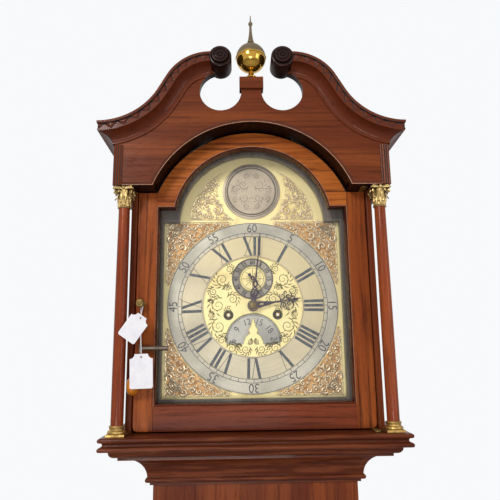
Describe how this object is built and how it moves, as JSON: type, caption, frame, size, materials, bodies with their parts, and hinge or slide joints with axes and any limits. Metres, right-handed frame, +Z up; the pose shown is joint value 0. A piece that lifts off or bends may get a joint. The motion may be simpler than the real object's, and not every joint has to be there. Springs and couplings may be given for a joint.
{
  "type": "longcase clock",
  "caption": "Tall mahogany longcase clock with a swan-neck hood on free columns, an arched brass dial, pendulum, weights and a winding crank hung from the hood door's knob.",
  "frame": {"origin": "on the floor, under the middle of the whole clock's width and depth", "axes": "+Z up, +Y to the back, +X to the right as seen from the front; the dial faces -Y"},
  "size_m": [0.486, 0.26, 2.1955],
  "materials": {
    "mahogany": "French polished, with darker streaks",
    "dark_mahogany": "old polish, nearly black in the hollows",
    "pine": "bare, planed",
    "aged_brass": "worn, patinated",
    "dial_brass": "matted and engraved",
    "silvered_brass": "silvered, circularly brushed",
    "cast_brass": "cast and lacquered",
    "movement_brass": "polished",
    "steel": "filed and polished",
    "blued_steel": "blued",
    "glass": "clear",
    "string": "twisted cotton",
    "gut": "gut line",
    "card": "stiff card, yellowed",
    "fruitwood": "turned and varnished"
  },
  "bodies": {
    "case": {"backboard": "pine", "trunk": "mahogany", "throat_moulding": "dark_mahogany", "waist_moulding": "dark_mahogany", "base_box": "mahogany", "base_plinth": "dark_mahogany", "seatboard": "pine", "trunk_hinge_leaves": "aged_brass", "dial_plate": "dial_brass", "chapter_ring": "silvered_brass", "seconds_ring": "silvered_brass", "arch_boss": "silvered_brass", "spandrels": "cast_brass", "movement_frame": "movement_brass", "bell": "movement_brass", "line_tops": "gut", "going_line": "gut", "strike_line": "gut"},
    "trunk_door": {"trunk_door": "mahogany", "trunk_door_fittings": "aged_brass"},
    "hood": {"hood_base": "dark_mahogany", "hood_sides": "mahogany", "hood_mask": "dark_mahogany", "hood_tympanum": "mahogany", "hood_friezes": "dark_mahogany", "swan_necks": "dark_mahogany", "column_shafts": "mahogany", "hood_brasses": "aged_brass"},
    "hood_door": {"hood_door": "mahogany", "door_glass": "glass", "door_brasses": "aged_brass"},
    "key": {"key_string": "string", "winding_crank": "steel", "crank_grip": "fruitwood", "tags": "card"},
    "date_disc": {"date_disc": "silvered_brass"},
    "centre": {"centre_wheel": "movement_brass", "minute_hand": "blued_steel"},
    "minute_wheel": {"minute_wheel": "movement_brass"},
    "hour": {"hour_wheel": "movement_brass", "hour_hand": "blued_steel"},
    "third": {"third_wheel": "movement_brass"},
    "escape": {"escape_wheel": "movement_brass", "seconds_hand": "blued_steel"},
    "going_great": {"going_great_wheel": "movement_brass"},
    "going_barrel": {"going_barrel": "movement_brass"},
    "anchor": {"anchor": "steel"},
    "pendulum": {"pendulum": "movement_brass"},
    "strike_great": {"strike_great_wheel": "movement_brass"},
    "strike_barrel": {"strike_barrel": "movement_brass"},
    "pin": {"pin_wheel": "movement_brass"},
    "warning": {"warning_wheel": "movement_brass"},
    "fly": {"fly": "movement_brass"},
    "hammer": {"hammer": "steel"},
    "going_weight": {"going_weight": "movement_brass", "going_turn": "gut"},
    "going_pulley": {"going_pulley": "movement_brass"},
    "strike_weight": {"strike_weight": "movement_brass", "strike_turn": "gut"},
    "strike_pulley": {"strike_pulley": "movement_brass"}
  },
  "joints": [
    {"name": "hood_slide", "type": "slide", "parent": "case", "child": "hood", "axis": [0, -1, 0], "range_m": [0, 0.3]},
    {"name": "hood_door", "type": "hinge", "parent": "hood", "child": "hood_door", "pos_m": [0.18, -0.084, 1.7], "axis": [0, 0, 1], "range_deg": [0, 110]},
    {"name": "key_swing", "type": "hinge", "parent": "hood_door", "child": "key", "pos_m": [-0.176, -0.07, 1.7135], "axis": [0, 1, 0], "range_deg": [-10, 0]},
    {"name": "trunk_door", "type": "hinge", "parent": "case", "child": "trunk_door", "pos_m": [0.1253, -0.0423, 1], "axis": [0, 0, 1], "range_deg": [0, 120]},
    {"name": "hands", "type": "hinge", "parent": "case", "child": "centre", "pos_m": [0, 0.07, 1.7125], "axis": [0, 1, 0], "continuous": true},
    {"name": "minute_wheel", "type": "hinge", "parent": "case", "child": "minute_wheel", "pos_m": [0, 0.019, 1.6805], "axis": [0, 1, 0], "continuous": true},
    {"name": "hour", "type": "hinge", "parent": "case", "child": "hour", "pos_m": [0, 0.01, 1.7125], "axis": [0, 1, 0], "continuous": true},
    {"name": "third", "type": "hinge", "parent": "case", "child": "third", "pos_m": [0.01419, 0.05, 1.73768], "axis": [0, 1, 0], "continuous": true},
    {"name": "escape", "type": "hinge", "parent": "case", "child": "escape", "pos_m": [0, 0.076, 1.7585], "axis": [0, 1, 0], "continuous": true},
    {"name": "going_great", "type": "hinge", "parent": "case", "child": "going_great", "pos_m": [0.0409, 0.033, 1.6979], "axis": [0, 1, 0], "continuous": true},
    {"name": "date_disc", "type": "hinge", "parent": "case", "child": "date_disc", "pos_m": [0, -0.012, 1.6535], "axis": [0, 1, 0], "continuous": true},
    {"name": "pendulum", "type": "hinge", "parent": "case", "child": "pendulum", "pos_m": [0, 0.101, 1.7905], "axis": [0, 1, 0], "range_deg": [-2.5, 2.5]},
    {"name": "anchor", "type": "hinge", "parent": "case", "child": "anchor", "pos_m": [0, 0.076, 1.7868], "axis": [0, 1, 0], "range_deg": [-2.6, 2.6]},
    {"name": "strike_pin", "type": "hinge", "parent": "case", "child": "pin", "pos_m": [-0.047, 0.0735, 1.7375], "axis": [0, 1, 0], "continuous": true},
    {"name": "strike_great", "type": "hinge", "parent": "case", "child": "strike_great", "pos_m": [-0.0409, 0.033, 1.6979], "axis": [0, 1, 0], "continuous": true},
    {"name": "warning", "type": "hinge", "parent": "case", "child": "warning", "pos_m": [-0.033, 0.056, 1.7627], "axis": [0, 1, 0], "continuous": true},
    {"name": "fly", "type": "hinge", "parent": "case", "child": "fly", "pos_m": [-0.05, 0.056, 1.7737], "axis": [0, 1, 0], "continuous": true},
    {"name": "hammer", "type": "hinge", "parent": "case", "child": "hammer", "pos_m": [-0.052, 0.045, 1.7945], "axis": [0, 1, 0], "range_deg": [-12, 6], "stiffness_Nm_per_rad": 0.1},
    {"name": "going_weight", "type": "slide", "parent": "case", "child": "going_weight", "axis": [0, 0, 1], "range_m": [-1.005, 0], "deforming": ["going_line"]},
    {"name": "going_barrel", "type": "hinge", "parent": "case", "child": "going_barrel", "pos_m": [0.0409, 0.05, 1.6979], "axis": [0, 1, 0], "continuous": true},
    {"name": "going_pulley", "type": "hinge", "parent": "going_weight", "child": "going_pulley", "pos_m": [0.0361, 0.05, 1.5565], "axis": [0, 1, 0], "continuous": true},
    {"name": "strike_weight", "type": "slide", "parent": "case", "child": "strike_weight", "axis": [0, 0, 1], "range_m": [-1.005, 0], "deforming": ["strike_line"]},
    {"name": "strike_barrel", "type": "hinge", "parent": "case", "child": "strike_barrel", "pos_m": [-0.0409, 0.05, 1.6979], "axis": [0, 1, 0], "continuous": true},
    {"name": "strike_pulley", "type": "hinge", "parent": "strike_weight", "child": "strike_pulley", "pos_m": [-0.0457, 0.05, 1.5565], "axis": [0, 1, 0], "continuous": true}
  ],
  "couplings": [
    {"joint": "minute_wheel", "follows": "hands", "ratio": -1},
    {"joint": "hour", "follows": "hands", "ratio": 0.083333},
    {"joint": "third", "follows": "hands", "ratio": -7.5},
    {"joint": "escape", "follows": "hands", "ratio": 60},
    {"joint": "going_great", "follows": "hands", "ratio": -0.083333},
    {"joint": "anchor", "follows": "pendulum", "ratio": 1},
    {"joint": "strike_great", "follows": "strike_pin", "ratio": -0.095238},
    {"joint": "warning", "follows": "strike_pin", "ratio": -8},
    {"joint": "fly", "follows": "strike_pin", "ratio": 64},
    {"joint": "going_barrel", "follows": "going_weight", "rad_per_m": 96.154},
    {"joint": "going_pulley", "follows": "going_weight", "rad_per_m": 62.5},
    {"joint": "strike_barrel", "follows": "strike_weight", "rad_per_m": 96.154},
    {"joint": "strike_pulley", "follows": "strike_weight", "rad_per_m": 62.5}
  ]
}
